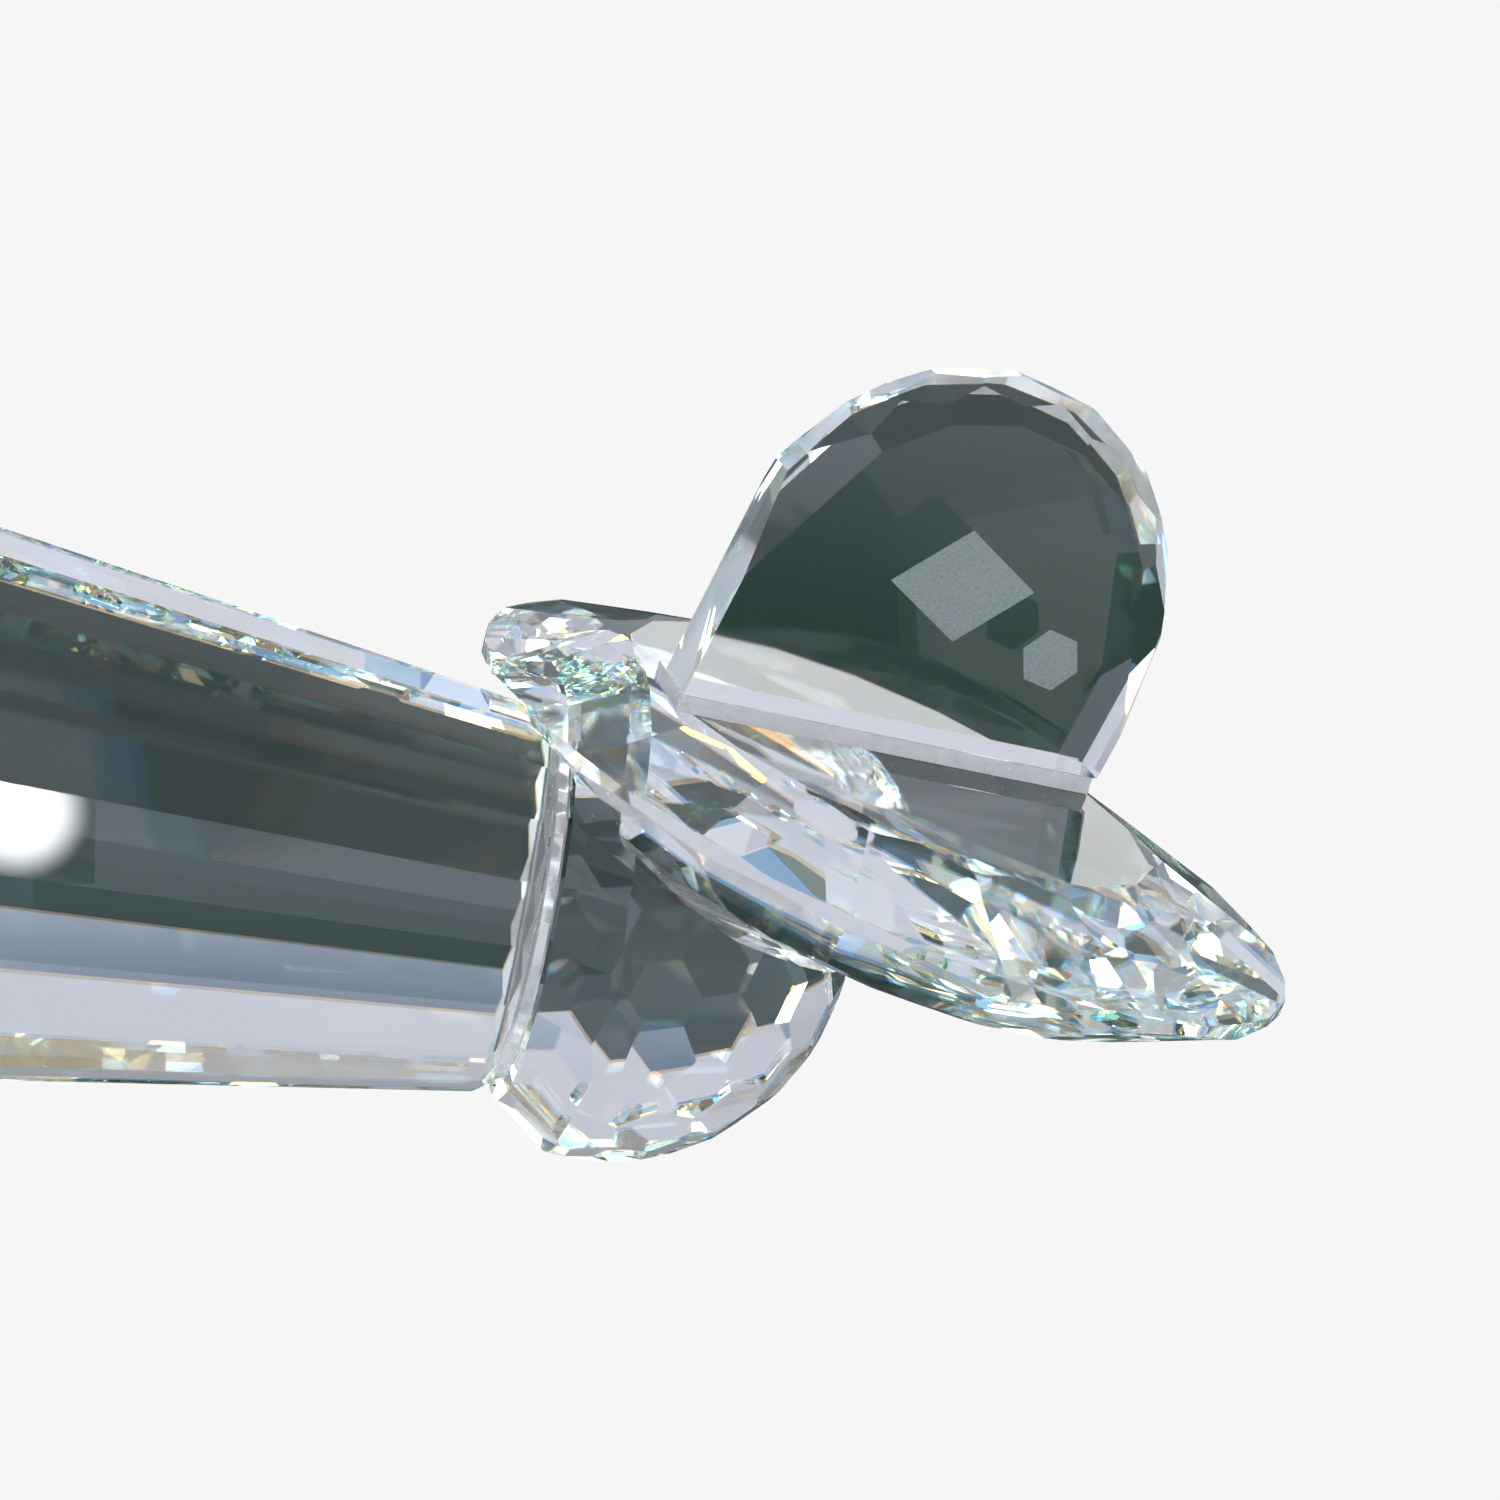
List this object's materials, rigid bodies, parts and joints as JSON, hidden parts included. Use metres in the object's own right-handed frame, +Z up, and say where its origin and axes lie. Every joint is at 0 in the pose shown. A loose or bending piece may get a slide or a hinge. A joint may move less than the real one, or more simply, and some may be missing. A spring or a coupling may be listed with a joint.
{
  "type": "crystal figurine",
  "caption": "Clear cut-crystal figurine: tapered faceted body with a honeycomb-cut dome end, a large oval brilliant laid across the dome and a round-topped upright plate on its table",
  "frame": {"origin": "middle of the bounding box's footprint, on the surface the figurine rests on", "axes": "+X from the nose of the body towards the dome, +Y away from the plate's front face, +Z up"},
  "size_m": [0.0788, 0.036, 0.0346],
  "materials": {
    "crystal": "clear lead crystal, ground and polished facets",
    "glue": "clear set adhesive"
  },
  "bodies": {
    "root": {"tapered_body": "crystal", "tail_dome": "crystal", "oval_brilliant": "crystal", "upright_plate": "crystal", "dome_bond": "glue", "oval_bond": "glue", "plate_bond": "glue"}
  },
  "joints": []
}
